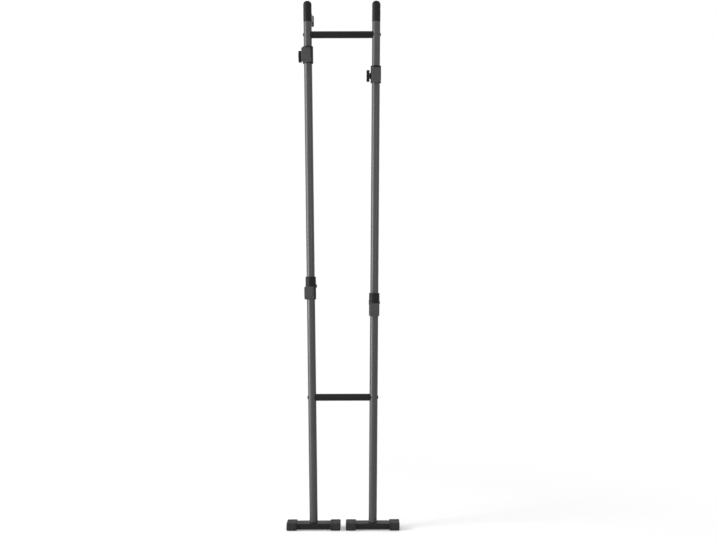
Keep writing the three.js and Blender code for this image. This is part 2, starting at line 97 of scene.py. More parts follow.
bpy.ops.object.select_all(action="DESELECT")
bpy.ops.object.camera_add(
    location=(CAMERA_X, post_y - CAMERA_DISTANCE, CAMERA_HEIGHT),
    rotation=(math.radians(90), CAMERA_ROLL, 0),
)
camera = bpy.context.active_object
camera.data.sensor_width = SENSOR_WIDTH
camera.data.lens = FOCAL_PIXELS / PICTURE_WIDTH * SENSOR_WIDTH
camera.data.shift_x = CAMERA_SHIFT
bpy.context.scene.camera = camera
print("lens in mm:", round(camera.data.lens, 2))

# %% [markdown]
# The posts don't stand quite upright: each leans outwards by about half a degree, so they are
# further apart at the top. The slides of the holders run along the posts, so a slide's axis in
# the frame gives the lean. A piece on a post is modelled on an upright post at the origin, which
# keeps its numbers simple, and is then turned and moved to its own post in one step.

# %% Where things are
joints = {joint["name"]: joint for joint in frame["joints"]}
lean = math.asin(joints["upper_right_slide"]["axis"][0])
SIDES = {"left": -1, "right": 1}
TIERS = ("lower", "upper")


def half_spacing(height):
    """Half the distance between the posts' axes at a height above the floor"""
    return foot_x + height * math.tan(lean)


def on_post(side, height=0):
    """The turn and place of a side's post, from a height along it"""
    foot = Matrix.Translation((side * foot_x, post_y, 0))
    turn = Matrix.Rotation(side * lean, 4, "Y")
    return foot @ turn @ Matrix.Translation((0, 0, height))


print("lean in degrees:", round(math.degrees(lean), 3))
print("half spacing at the floor:", round(foot_x, 4))

# %% [markdown]
# Modelling by hand means: add a primitive, select some of it, and apply an operator. An operator
# acts on all that is selected, so these helpers first make sure that nothing else is. They also
# put a finished shape's place and turn into its mesh, because a pattern on Object coordinates
# slides on an object that was moved. Corners, edges and faces are picked by small tests on their
# place or direction: near means the same place, and close is for the middle of a narrow band.

# %% Helpers for selecting and placing
X, Y, Z = 0, 1, 2
NEAR = 0.01 * MM
CLOSE = 0.5 * MM
FACING = 0.9
PARALLEL = 0.99


def only(piece):
    """Makes this the one selected and active object"""
    bpy.ops.object.select_all(action="DESELECT")
    piece.select_set(True)
    bpy.context.view_layer.objects.active = piece


def settle(piece, place=None):
    """Moves the piece to a place, if one is given, and puts its place and turn in its mesh"""
    if place is not None:
        piece.matrix_world = place @ piece.matrix_world
    only(piece)
    bpy.ops.object.transform_apply(location=True, rotation=True, scale=True)
    return piece


def take(name):
    """Names the primitive that was just added, and puts its size in its mesh"""
    piece = bpy.context.active_object
    piece.name = name
    piece.data.name = name
    return settle(piece)


def enter_edit(piece):
    """Edit mode, on this piece alone"""
    only(piece)
    bpy.ops.object.mode_set(mode="EDIT")


def leave_edit():
    """Back to object mode"""
    bpy.ops.object.mode_set(mode="OBJECT")


def pick(piece, kind, test):
    """Selects the FACE, EDGE or VERT elements that pass a test, in edit mode"""
    bpy.ops.mesh.select_mode(type=kind)
    bpy.ops.mesh.select_all(action="DESELECT")
    mesh = bmesh.from_edit_mesh(piece.data)
    for element in {"FACE": mesh.faces, "EDGE": mesh.edges, "VERT": mesh.verts}[kind]:
        if test(element):
            element.select_set(True)
    bmesh.update_edit_mesh(piece.data)


def pick_all():
    """Selects the whole piece, in edit mode"""
    bpy.ops.mesh.select_all(action="SELECT")


def slice_at(axis, place):
    """Puts a ring of edges round the piece in edit mode, where a plane across an axis cuts it"""
    normal = Vector((0, 0, 0))
    normal[axis] = 1
    pick_all()
    bpy.ops.mesh.bisect(plane_co=place * normal, plane_no=normal)


def lies_on(axis, place):
    """A test for edges and faces whose corners all have this coordinate"""
    return lambda element: all(abs(vert.co[axis] - place) < NEAR for vert in element.verts)


def runs_along(axis):
    """A test for edges that run along an axis"""
    def test(edge):
        step = edge.verts[0].co - edge.verts[1].co
        return abs(step[axis]) > PARALLEL * step.length
    return test


def bevel(offset, segments, affect="EDGES"):
    """Rounds what is selected, in edit mode"""
    bpy.ops.mesh.bevel(offset=offset, segments=segments, affect=affect)


def pull(x=0, y=0, z=0):
    """Extrudes what is selected, in edit mode"""
    bpy.ops.mesh.extrude_region_move(TRANSFORM_OT_translate={"value": (x, y, z)})


def copy_of(piece, name):
    """A copy with a mesh of its own"""
    copy = piece.copy()
    copy.data = piece.data.copy()
    copy.name = name
    copy.data.name = name
    bpy.context.scene.collection.objects.link(copy)
    return copy


print("helpers ready:", [helper.__name__ for helper in (only, take, pick, slice_at, bevel, pull)])

# %% [markdown]
# Two starting shapes cover most of a rack: a round bar and a block. A bar is a cylinder with
# enough sides to look round, laid along one of the axes from a starting point. Both are only
# starts: the cells below hollow, cut, round and join them. A rod that cuts or joins another shape
# always overruns it a little, because faces that lie in one plane upset a boolean.

# %% Helpers for starting shapes
TURNS = {
    "X": (0, math.radians(90), 0),
    "-X": (0, math.radians(-90), 0),
    "Y": (math.radians(-90), 0, 0),
    "-Y": (math.radians(90), 0, 0),
    "Z": (0, 0, 0),
}
TUBE_SIDES = 96
ROD_SIDES = 48
OVERRUN = MM


def along(direction):
    """The matrix that lays +Z along a direction"""
    return Euler(TURNS[direction]).to_matrix().to_4x4()


def add_rod(name, radius, length, start=(0, 0, 0), direction="Z", sides=ROD_SIDES, ends="NGON"):
    """A round bar from a starting point along a direction"""
    centre = Vector(start) + along(direction) @ Vector((0, 0, length / 2))
    bpy.ops.mesh.primitive_cylinder_add(
        vertices=sides,
        radius=radius,
        depth=length,
        end_fill_type=ends,
        location=centre,
        rotation=TURNS[direction],
    )
    return take(name)


def add_block(name, low, high):
    """A block between two corners"""
    low, high = Vector(low), Vector(high)
    bpy.ops.mesh.primitive_cube_add(size=1, location=(low + high) / 2, scale=high - low)
    return take(name)


print("directions:", list(TURNS))

# %% [markdown]
# Four finishing tools follow. A wall turns a thin shell into a tube. A boolean cuts one shape
# from another, or joins them. A bevel breaks the sharp edges of turned and cut metal. Mouldings
# need more: their corners and joins are all rounded alike, so they are remeshed with small cubes
# and then smoothed, which rounds every corner by about the cube's size, as a mould does. Smooth
# shading would let a fine bevel tilt the light on the whole length of a tube. Weighted normals
# prevent that, because they let a large face have its way over a small one.

# %% Helpers for finishing shapes
SMOOTH_ANGLE = math.radians(40)
EDGE_BREAK = 0.4 * MM


def apply_modifier(piece, kind, **settings):
    """Adds a modifier, sets it and applies it"""
    only(piece)
    modifier = piece.modifiers.new(kind.lower(), kind)
    for key, value in settings.items():
        setattr(modifier, key, value)
    bpy.ops.object.modifier_apply(modifier=modifier.name)


def shade(piece):
    """Smooth across curves, crisp across edges and true on the broad faces"""
    only(piece)
    bpy.ops.object.shade_smooth_by_angle(angle=SMOOTH_ANGLE)
    apply_modifier(piece, "WEIGHTED_NORMAL", keep_sharp=True)
    return piece


def wall(piece, thickness):
    """Gives an open shell a wall, inwards"""
    apply_modifier(piece, "SOLIDIFY", thickness=thickness, offset=-1)


def cut(piece, tool):
    """Cuts a tool from the piece and deletes the tool"""
    apply_modifier(piece, "BOOLEAN", operation="DIFFERENCE", solver="EXACT", object=tool)
    bpy.data.objects.remove(tool)


def join(piece, other):
    """Joins another shape to the piece"""
    apply_modifier(piece, "BOOLEAN", operation="UNION", solver="EXACT", object=other)
    bpy.data.objects.remove(other)


def break_edges(piece, width=EDGE_BREAK, segments=2, angle=40):
    """Breaks sharp edges with a small bevel"""
    apply_modifier(
        piece, "BEVEL", width=width, segments=segments,
        limit_method="ANGLE", angle_limit=math.radians(angle),
    )
    return shade(piece)


def mould(piece, voxel):
    """Rounds every corner as a mould does, then drops the triangles that add nothing"""
    apply_modifier(piece, "REMESH", mode="VOXEL", voxel_size=voxel)
    apply_modifier(piece, "SMOOTH", factor=0.5, iterations=6)
    apply_modifier(piece, "DECIMATE", ratio=0.5)
    only(piece)
    bpy.ops.object.shade_smooth()
    return piece


print("smooth below", round(math.degrees(SMOOTH_ANGLE)), "degrees")

# %% [markdown]
# A finish is a node tree with a Principled shader at its end. All the finishes here start the
# same way: texture coordinates from the object, so that the pattern has its real size in metres,
# and noise at two sizes. Coarse noise varies the colour and the gloss over hands' breadths, as
# handling and dust do. Fine noise drives the bump, which is the grain that one sees close up.
# Two small helpers keep the trees short: one adds a node, the other a Math node with its inputs.

# %% The start of every finish
BLOTCH_RANGE = (0.3, 0.7)


def add_node(tree, kind, **values):
    """A new node, with some of its inputs set by name"""
    node = tree.nodes.new(f"ShaderNode{kind}")
    for name, value in values.items():
        node.inputs[name.replace("_", " ")].default_value = value
    return node


def reckon(tree, operation, *values):
    """The output of a Math node that reckons with sockets and numbers"""
    node = add_node(tree, "Math")
    node.operation = operation
    for socket, value in zip(node.inputs, values):
        if isinstance(value, bpy.types.NodeSocket):
            tree.links.new(value, socket)
        else:
            socket.default_value = value
    return node.outputs["Value"]


def start_finish(name, colour, second_colour, roughness, grain_size, grain_depth,
                 blotch_size=90 * MM):
    """A material with blotchy colour, uneven gloss and a fine grain, and its shader"""
    material = bpy.data.materials.new(name)
    material.use_nodes = True
    tree = material.node_tree
    links = tree.links
    shader = tree.nodes["Principled BSDF"]
    place = add_node(tree, "TexCoord").outputs["Object"]

    blotches = add_node(tree, "TexNoise", Scale=1 / blotch_size, Detail=6)
    links.new(place, blotches.inputs["Vector"])

    tint = add_node(tree, "Mix")
    tint.data_type = "RGBA"
    tint.inputs["A"].default_value = (*colour, 1)
    tint.inputs["B"].default_value = (*second_colour, 1)
    links.new(blotches.outputs["Fac"], tint.inputs["Factor"])
    links.new(tint.outputs["Result"], shader.inputs["Base Color"])

    gloss = add_node(tree, "MapRange", From_Min=BLOTCH_RANGE[0], From_Max=BLOTCH_RANGE[1],
                     To_Min=roughness[0], To_Max=roughness[1])
    links.new(blotches.outputs["Fac"], gloss.inputs["Value"])
    links.new(gloss.outputs["Result"], shader.inputs["Roughness"])

    grain = add_node(tree, "TexNoise", Scale=1 / grain_size, Detail=3)
    links.new(place, grain.inputs["Vector"])

    bump = add_node(tree, "Bump", Strength=1, Distance=grain_depth)
    links.new(grain.outputs["Fac"], bump.inputs["Height"])
    links.new(bump.outputs["Normal"], shader.inputs["Normal"])
    return material, shader


print("shared start of the finishes is ready")

# %% [markdown]
# Powder coat is paint that was dusted on dry and baked. It flows a little as it bakes, and leaves
# the surface of orange peel, with ripples a millimetre or two across. A holder that is slid up and
# down rubs faint upright marks into it, so the posts' coat also gets a noise that is stretched
# along Z, and it only makes the gloss uneven there.

# %% Powder coat
RUB_WIDTH = 2.5 * MM
RUB_STRETCH = 0.02
RUB_ROUGHNESS = 0.12


def powder_coat(name, colour, second_colour, roughness, shine):
    """Satin baked paint with orange peel and faint rub marks along Z"""
    material, shader = start_finish(
        name, colour, second_colour, roughness, grain_size=1.6 * MM, grain_depth=0.03 * MM,
    )
    shader.inputs["Specular IOR Level"].default_value = shine

    tree = material.node_tree
    place = add_node(tree, "TexCoord").outputs["Object"]
    stretch = add_node(tree, "Mapping", Scale=(1, 1, RUB_STRETCH))
    tree.links.new(place, stretch.inputs["Vector"])
    rubs = add_node(tree, "TexNoise", Scale=1 / RUB_WIDTH)
    tree.links.new(stretch.outputs["Vector"], rubs.inputs["Vector"])

    gloss = shader.inputs["Roughness"].links[0].from_socket
    rubbed = reckon(tree, "MULTIPLY_ADD", rubs.outputs["Fac"], RUB_ROUGHNESS, gloss)
    tree.links.new(rubbed, shader.inputs["Roughness"])
    return material


post_coat = powder_coat(
    "post_coat", (0.03, 0.031, 0.033), (0.042, 0.043, 0.045), roughness=(0.28, 0.38), shine=0.5,
)
# The second coat is the posts' coat made far darker. Its darkness is painted shade, for the cross
# bars, the feet and the straps.
painted_shade_coat = powder_coat(
    "painted_shade_coat", (0.005, 0.005, 0.006), (0.009, 0.009, 0.01), roughness=(0.4, 0.5), shine=0.2,
)
print("finishes:", post_coat.name, painted_shade_coat.name)

# %% [markdown]
# Moulded plastic takes the fine spark-eroded grain of its mould, so its highlights are wide and
# dull. Rubber is duller still, is never quite black, and carries a little grey bloom, which is the
# coarse noise here. Zinc plate is a metal, with a crystalline sparkle from its fine grain.

# %% Plastic, rubber and zinc plate
def moulded_plastic(name, colour, second_colour):
    """Black nylon with a fine mould grain"""
    material, shader = start_finish(
        name, colour, second_colour, (0.42, 0.56), grain_size=0.5 * MM, grain_depth=0.03 * MM,
    )
    shader.inputs["Specular IOR Level"].default_value = 0.18
    return material


def rubber(name, colour, second_colour):
    """Matt rubber with a little bloom"""
    material, shader = start_finish(
        name, colour, second_colour, (0.65, 0.85),
        grain_size=0.9 * MM, grain_depth=0.05 * MM, blotch_size=25 * MM,
    )
    shader.inputs["Specular IOR Level"].default_value = 0.35
    return material


def zinc_plate(name, colour, second_colour):
    """Plated steel, a little cloudy"""
    material, shader = start_finish(
        name, colour, second_colour, (0.28, 0.42),
        grain_size=0.35 * MM, grain_depth=0.01 * MM, blotch_size=6 * MM,
    )
    shader.inputs["Metallic"].default_value = 0.9
    return material


grained_plastic = moulded_plastic("grained_plastic", (0.006, 0.006, 0.0065), (0.01, 0.01, 0.0105))
boot_rubber = rubber("boot_rubber", (0.009, 0.009, 0.009), (0.016, 0.016, 0.0155))
cradle_rubber = rubber("cradle_rubber", (0.035, 0.035, 0.036), (0.055, 0.055, 0.056))
bright_zinc = zinc_plate("bright_zinc", (0.5, 0.52, 0.55), (0.62, 0.63, 0.64))
black_zinc = zinc_plate("black_zinc", (0.03, 0.03, 0.033), (0.05, 0.05, 0.054))
mouldings = (grained_plastic, boot_rubber, cradle_rubber)
print("finishes:", [finish.name for finish in (*mouldings, bright_zinc, black_zinc)])

# %% [markdown]
# Each finished piece is dressed in one call: its finish, the body it moves with, and the CAD
# pieces that it stands for.

# %% Dressing a piece
def dress(piece, finish, body, slot, *nodes):
    """Gives a piece its finish and body, and hides the CAD nodes that it stands for"""
    piece.data.materials.clear()
    piece.data.materials.append(finish)
    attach(piece, body)
    if nodes:
        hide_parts(*nodes)
    return piece


# %% [markdown]
# The feet are flat oval-cornered steel tubes. A block becomes one in three steps: bevel the four
# long edges into round corners, delete the two end faces, and give the open shell its wall. The
# stub that carries the post is a short tube on top, welded on, and mostly hidden in the post.

# %% Foot bars
BAR_HEIGHT = 25 * MM
BAR_CORNER = 6 * MM
BAR_WALL = 2 * MM
STUB_RADIUS = 15.7 * MM
STUB_HEIGHT = 70 * MM


def make_foot_bar(name, side):
    """A flat tube with round corners and a welded stub"""
    low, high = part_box(f"foot_bar_{name}")
    bar = add_block(f"foot_bar_{name}_tube", low, (high.x, high.y, low.z + BAR_HEIGHT))
    enter_edit(bar)
    pick(bar, "EDGE", runs_along(X))
    bevel(BAR_CORNER, segments=8)
    pick(bar, "FACE", lambda face: abs(face.normal.x) > FACING)
    bpy.ops.mesh.delete(type="ONLY_FACE")
    leave_edit()
    wall(bar, BAR_WALL)
    break_edges(bar, angle=60)

    stub = add_rod(f"foot_stub_{name}", STUB_RADIUS, STUB_HEIGHT, sides=TUBE_SIDES, ends="NOTHING")
    wall(stub, BAR_WALL)
    settle(break_edges(stub), on_post(side, low.z + BAR_HEIGHT))
    dress(stub, painted_shade_coat, "frame", "dark_powder_coat")
    return dress(bar, painted_shade_coat, "frame", "dark_powder_coat", f"foot_bar_{name}")


foot_bars = [make_foot_bar(name, side) for name, side in SIDES.items()]
print("foot bars:", [len(bar.data.polygons) for bar in foot_bars], "faces")

# %% [markdown]
# Each foot bar ends in a rubber boot, which is a block again. Its long edges and its closed end
# are bevelled round. At its mouth the end face is inset to the bar's outline and pushed in, which
# is how a pocket is modelled by hand. A shallow groove runs round it behind the mouth, where the
# real moulding has its lip.

# %% Rubber boots
BOOT_CORNER = 9 * MM
BOOT_END_ROUND = 4 * MM
BOOT_LIP = 1.2 * MM
POCKET_DEPTH = 37 * MM
POCKET_SIZE = (70.6 * MM, 25.6 * MM)
GROOVE_FROM_MOUTH = (6 * MM, 8 * MM)
GROOVE_DEPTH = 0.9 * MM


def make_boot(node, mouth):
    """A boot whose pocket opens towards mouth, -1 or 1 along X"""
    low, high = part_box(node)
    mouth_x = high.x if mouth > 0 else low.x
    end_x = low.x if mouth > 0 else high.x
    middle = (low + high) / 2
    boot = add_block(f"{node}_boot", low, high)
    enter_edit(boot)
    pick(boot, "EDGE", runs_along(X))
    bevel(BOOT_CORNER, segments=8)
    pick(boot, "EDGE", lies_on(X, end_x))
    bevel(BOOT_END_ROUND, segments=5)
    pick(boot, "EDGE", lies_on(X, mouth_x))
    bevel(BOOT_LIP, segments=3)

    for distance in GROOVE_FROM_MOUTH:
        slice_at(X, mouth_x - mouth * distance)
    groove_x = mouth_x - mouth * sum(GROOVE_FROM_MOUTH) / 2
    pick(boot, "FACE", lambda face: abs(face.calc_center_median().x - groove_x) < CLOSE)
    bpy.ops.mesh.extrude_region_shrink_fatten(
        TRANSFORM_OT_shrink_fatten={"value": -GROOVE_DEPTH}
    )

    pick(boot, "FACE", lies_on(X, mouth_x))
    rim = (high.z - low.z - 2 * BOOT_LIP - POCKET_SIZE[1]) / 2
    inset_depth = high.y - low.y - 2 * BOOT_LIP - 2 * rim
    bpy.ops.mesh.inset(thickness=rim)
    bpy.ops.transform.resize(
        value=(1, POCKET_SIZE[0] / inset_depth, 1), center_override=(mouth_x, middle.y, middle.z)
    )
    pull(x=-mouth * POCKET_DEPTH)
    leave_edit()
    shade(boot)
    return dress(boot, boot_rubber, "frame", "black_rubber", node)


boots = []
for name, side in SIDES.items():
    boots.append(make_boot(f"foot_cap_{name}_outer", -side))
    boots.append(make_boot(f"foot_cap_{name}_inner", side))
print("boots:", [boot.name for boot in boots])

# %% [markdown]
# The posts are round steel tubes of one size in two lengths. The foot of the upper one is swaged:
# pressed down to the bore of the lower one, which it plugs into, so that only a fine line shows
# where they meet. Two planes bisect an open cylinder at the shoulder, and what lies below is
# scaled down. The shell then gets a wall inwards, and its cut ends are broken with a fine bevel,
# as a deburring tool leaves them.

# %% Posts
POST_RADIUS = 17.5 * MM
POST_SPAN = {"lower": (29.4 * MM, 1138 * MM), "upper": (1038 * MM, 2179.7 * MM)}
POST_WALL = 1.5 * MM
PLUG_RADIUS = 15.7 * MM
SHOULDER = 3 * MM
SEAT_GAP = 0.3 * MM


def make_tube(name, radius, length, thickness, start=(0, 0, 0), direction="Z"):
    """A round tube with broken edges at its cut ends"""
    tube = add_rod(name, radius, length, start, direction, sides=TUBE_SIDES, ends="NOTHING")
    wall(tube, thickness)
    return break_edges(tube, segments=3)


def make_swaged_tube(name, foot, top, joint):
    """A post's tube with its foot pressed narrower, up to a joint's height"""
    tube = add_rod(name, POST_RADIUS, top - foot, (0, 0, foot), sides=TUBE_SIDES, ends="NOTHING")
    enter_edit(tube)
    slice_at(Z, joint)
    slice_at(Z, joint + SHOULDER)
    pick(tube, "VERT", lambda vert: vert.co.z < joint + NEAR)
    narrower = PLUG_RADIUS / POST_RADIUS
    bpy.ops.transform.resize(value=(narrower, narrower, 1), center_override=(0, 0, 0))
    leave_edit()
    wall(tube, POST_WALL)
    return break_edges(tube, segments=3, angle=50)


for name, side in SIDES.items():
    foot, joint = POST_SPAN["lower"]
    post = make_tube(f"lower_post_{name}_tube", POST_RADIUS, joint - foot, POST_WALL, (0, 0, foot))
    dress(settle(post, on_post(side)), post_coat, "frame", "powder_coat", f"lower_post_{name}")
    post = make_swaged_tube(f"upper_post_{name}_tube", *POST_SPAN["upper"], joint + SEAT_GAP)
    dress(settle(post, on_post(side)), post_coat, "frame", "powder_coat", f"upper_post_{name}")
print("posts:", {tier: round(top - foot, 3) for tier, (foot, top) in POST_SPAN.items()})

# %% [markdown]
# A bolt head is a short cylinder whose top edge is bevelled far in, which makes its dome, with a
# six-sided socket cut into it. The heads lie where the CAD fasteners' boxes end, and face the way
# that the hexagon key comes from.

# %% Fasteners
BAR_BOLT = {"head": 7 * MM, "height": 2.6 * MM, "shank": 4 * MM, "socket": 2.6 * MM}
FOOT_SCREW = {"head": 5.25 * MM, "height": 3.3 * MM, "shank": 3 * MM, "socket": 2.2 * MM}
DOME_SHARE = 0.7
SOCKET_DEPTH_SHARE = 0.6


def make_bolt(name, sizes, tip, direction, length):
    """A domed socket-head bolt: tip is the middle of its head's top, direction the way it faces"""
    height = sizes["height"]
    bolt = add_rod(name, sizes["head"], height, (0, 0, -height))
    enter_edit(bolt)
    pick(bolt, "EDGE", lies_on(Z, 0))
    bevel(DOME_SHARE * height, segments=5)
    leave_edit()
    depth = SOCKET_DEPTH_SHARE * height
    cut(bolt, add_rod("socket", sizes["socket"], 2 * depth, (0, 0, -depth), sides=6))
    join(bolt, add_rod("shank", sizes["shank"], length - height / 2, (0, 0, -length), sides=32))
    settle(bolt, Matrix.Translation(tip) @ along(direction))
    return shade(bolt)


def fasten(node, sizes, direction):
    """A bolt as long as a CAD fastener's box, with its head at the end that it faces"""
    low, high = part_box(node)
    axis = "XYZ".index(direction[-1])
    tip = (low + high) / 2
    tip[axis] = low[axis] if direction.startswith("-") else high[axis]
    bolt = make_bolt(f"{node}_head", sizes, tip, direction, high[axis] - low[axis])
    dress(bolt, black_zinc, "frame", "black_fasteners", node)


for tier in TIERS:
    for name, side in SIDES.items():
        fasten(f"bar_bolt_{tier}_{name}", BAR_BOLT, "X" if side > 0 else "-X")
for name in SIDES:
    fasten(f"foot_screw_{name}", FOOT_SCREW, "Y")
print("bolts and screws face outwards and back")

# %% [markdown]
# A cross bar ties the posts together at the top and low down. It is a plain tube, but a tube can't
# sit on a round post, so a moulded saddle plugs into each end. The saddle's outer face is cut with
# the leaning post itself, a little fattened, which leaves the hollow that seats on it.

# %% Cross bars and saddles
BAR_RADIUS = 15 * MM
TUBE_BAR_WALL = 1.5 * MM
SPIGOT_RADIUS = BAR_RADIUS - TUBE_BAR_WALL - SEAT_GAP
SPIGOT_LENGTH = 25 * MM
SADDLE_BREAK = 0.5 * MM
POST_CUTTER = 80 * MM


def make_saddle(name, side, inner, height):
    """A cross bar's end plug, hollowed by the post: inner is where the bar ends"""
    direction = "X" if side > 0 else "-X"
    saddle = add_rod(name, BAR_RADIUS, half_spacing(height) - inner,
                     (side * inner, post_y, height), direction, sides=TUBE_SIDES)
    break_edges(saddle, SADDLE_BREAK)
    spigot_end = (side * (inner - SPIGOT_LENGTH), post_y, height)
    join(saddle, add_rod("spigot", SPIGOT_RADIUS, SPIGOT_LENGTH + 2 * OVERRUN, spigot_end,
                         direction, sides=TUBE_SIDES))
    post = add_rod("post", POST_RADIUS + SEAT_GAP, POST_CUTTER, (0, 0, -POST_CUTTER / 2),
                   sides=TUBE_SIDES)
    cut(saddle, settle(post, on_post(side, height / math.cos(lean))))
    return shade(saddle)


for tier in TIERS:
    low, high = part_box(f"{tier}_cross_bar")
    height = (low.z + high.z) / 2
    bar = make_tube(f"{tier}_cross_bar_tube", BAR_RADIUS, high.x - low.x, TUBE_BAR_WALL,
                    (low.x, post_y, height), "X")
    dress(bar, painted_shade_coat, "frame", "dark_powder_coat", f"{tier}_cross_bar")
    for name, side in SIDES.items():
        node = f"bar_saddle_{tier}_{name}"
        saddle = make_saddle(f"{node}_plug", side, high.x + SEAT_GAP, height)
        dress(saddle, grained_plastic, "frame", "black_plastic", node)
    print(tier, "cross bar is", round(high.x - low.x, 4), "long at", round(height, 3))

# %% [markdown]
# Moulded collars and caps carry shallow grooves. To cut one round a standing cylinder, two planes
# bisect it, which puts two rings of edges on it, and the band of faces between them is pushed in
# along the faces' normals.

# %% Helper for grooves
def groove_round(piece, bands, depth):
    """Pushes in bands, each from a low to a high Z, round a standing cylinder"""
    enter_edit(piece)
    for low, high in bands:
        slice_at(Z, low)
        slice_at(Z, high)
    middles = [(low + high) / 2 for low, high in bands]

    def is_band(face):
        height = face.calc_center_median().z
        upright = abs(face.normal.z) < 1 - FACING
        return upright and min(abs(height - middle) for middle in middles) < CLOSE

    pick(piece, "FACE", is_band)
    bpy.ops.mesh.extrude_region_shrink_fatten(TRANSFORM_OT_shrink_fatten={"value": -depth})
    leave_edit()


print("helper ready:", groove_round.__name__)

# %% [markdown]
# The cap on each post is one moulding: a dome, a barrel as wide as the post, a hollow plug that
# sits in the post's top and a socket at the back for the wall strut. The dome is the upper half of
# a sphere, which a bisect cuts off and fills, and its flat underside is pulled down into the
# barrel. A groove runs round it. The plug and the socket are joined on, and both bores are cut.
# Then the whole is moulded, which puts the same small fillet on every corner.

# %% Top caps
CAP_RADIUS = 18 * MM
CAP_LENGTH = 90 * MM
CAP_DOME = 16 * MM
CAP_ROOF = 3 * MM
CAP_PLUG_LENGTH = 30 * MM
CAP_PLUG_BORE = 13.1 * MM
CAP_PLUG_OVERLAP = 5 * MM
SOCKET_RADIUS = 15.5 * MM
SOCKET_REACH = 46 * MM
STRUT_RADIUS = 12.5 * MM
STRUT_FRONT = 18.7 * MM
CAP_GROOVE = (33.5 * MM, 37 * MM)
CAP_GROOVE_DEPTH = 1.1 * MM
COLLAR_VOXEL = 0.7 * MM
cap_top = cad_box[1].z
strut_height = cap_top - 25 * MM


def make_top_cap():
    """The cap of an upright post, with the post's foot at the origin"""
    bpy.ops.mesh.primitive_uv_sphere_add(segments=64, ring_count=32, radius=CAP_RADIUS)
    cap = take("top_cap")
    enter_edit(cap)
    pick_all()
    bpy.ops.mesh.bisect(plane_co=(0, 0, 0), plane_no=(0, 0, 1), clear_inner=True, use_fill=True)
    pick_all()
    bpy.ops.transform.resize(value=(1, 1, CAP_DOME / CAP_RADIUS), center_override=(0, 0, 0))
    pick(cap, "FACE", lambda face: face.normal.z < -FACING)
    pull(z=CAP_DOME - CAP_LENGTH)
    leave_edit()
    settle(cap, Matrix.Translation((0, 0, cap_top - CAP_DOME)))
    groove_round(cap, [(cap_top - CAP_GROOVE[1], cap_top - CAP_GROOVE[0])], CAP_GROOVE_DEPTH)
    join(cap, add_rod("socket", SOCKET_RADIUS, SOCKET_REACH, (0, 0, strut_height), "Y"))
    plug_foot = cap_top - CAP_LENGTH - CAP_PLUG_LENGTH
    join(cap, add_rod("plug", PLUG_RADIUS, CAP_PLUG_LENGTH + CAP_PLUG_OVERLAP, (0, 0, plug_foot)))
    hollow = cap_top - CAP_DOME - CAP_ROOF - plug_foot
    cut(cap, add_rod("hollow", CAP_PLUG_BORE, hollow + OVERRUN, (0, 0, plug_foot - OVERRUN)))
    socket_floor = (0, STRUT_FRONT - SEAT_GAP, strut_height)
    cut(cap, add_rod("bore", STRUT_RADIUS + SEAT_GAP, SOCKET_REACH, socket_floor, "Y"))
    return mould(cap, COLLAR_VOXEL)


top_cap = make_top_cap()
for name, side in SIDES.items():
    cap = settle(copy_of(top_cap, f"top_cap_{name}_moulding"), on_post(side))
    dress(cap, grained_plastic, "frame", "black_plastic", f"top_cap_{name}")
print("top cap:", len(top_cap.data.polygons), "faces")
bpy.data.objects.remove(top_cap)

# %% [markdown]
# A strut holds each post off the wall. It is a tube, with a flat plate welded over its far end,
# and a sheet of rubber between the plate and the wall. The weld bead is a thin torus, shaken a
# little so that it doesn't look turned. Shaken quads are no longer flat, so they are cut into
# triangles before the join, which needs flat faces. Two screw holes go through plate and rubber
# alike, so both are made by one function.

# %% Wall struts
PLATE_WIDTH = 30 * MM
PLATE_HEIGHT = 50 * MM
PLATE_THICKNESS = 4 * MM
PLATE_CORNER = 5 * MM
PLATE_BREAK = 0.5 * MM
WALL_PAD_THICKNESS = 3 * MM
SCREW_HOLE_RADIUS = 3.25 * MM
SCREW_SPACING = 36 * MM
WELD_RADIUS = 1.8 * MM
WELD_OFFSET = 0.6 * MM
WELD_SHAKE = 0.25 * MM
wall_y = cad_box[1].y - post_y
plate_y = wall_y - WALL_PAD_THICKNESS - SEAT_GAP - PLATE_THICKNESS


def make_plate(name, front, thickness):
    """A rounded plate that faces the wall, with its two screw holes"""
    half = Vector((PLATE_WIDTH / 2, 0, PLATE_HEIGHT / 2))
    middle = Vector((0, front, strut_height))
    plate = add_block(name, middle - half, middle + half + Vector((0, thickness, 0)))
    enter_edit(plate)
    pick(plate, "EDGE", runs_along(Y))
    bevel(PLATE_CORNER, segments=6)
    leave_edit()
    for end in (-1, 1):
        place = (0, front - OVERRUN, strut_height + end * SCREW_SPACING / 2)
        length = thickness + 2 * OVERRUN
        cut(plate, add_rod("hole", SCREW_HOLE_RADIUS, length, place, "Y", sides=32))
    return plate


def make_strut(name):
    """The strut's tube, plate and weld bead as one piece"""
    strut = add_rod(name, STRUT_RADIUS, plate_y - STRUT_FRONT + OVERRUN,
                    (0, STRUT_FRONT, strut_height), "Y", sides=TUBE_SIDES, ends="NOTHING")
    wall(strut, POST_WALL)
    join(strut, break_edges(make_plate("plate", plate_y, PLATE_THICKNESS), PLATE_BREAK))
    bpy.ops.mesh.primitive_torus_add(
        major_radius=STRUT_RADIUS + WELD_OFFSET, minor_radius=WELD_RADIUS,
        major_segments=72, minor_segments=12,
        location=(0, plate_y, strut_height), rotation=TURNS["Y"],
    )
    bead = take("bead")
    enter_edit(bead)
    pick_all()
    bpy.ops.transform.vertex_random(offset=WELD_SHAKE, seed=3)
    bpy.ops.mesh.quads_convert_to_tris()
    leave_edit()
    join(strut, bead)
    return shade(strut)


for name, side in SIDES.items():
    strut = settle(make_strut(f"wall_strut_{name}_tube"), on_post(side))
    dress(strut, post_coat, "frame", "powder_coat", f"wall_strut_{name}")
    sheet = make_plate(f"wall_pad_{name}_sheet", wall_y - WALL_PAD_THICKNESS, WALL_PAD_THICKNESS)
    settle(break_edges(sheet), on_post(side))
    dress(sheet, boot_rubber, "frame", "black_rubber", f"wall_pad_{name}")
print("the wall is", round(wall_y, 3), "behind the posts")

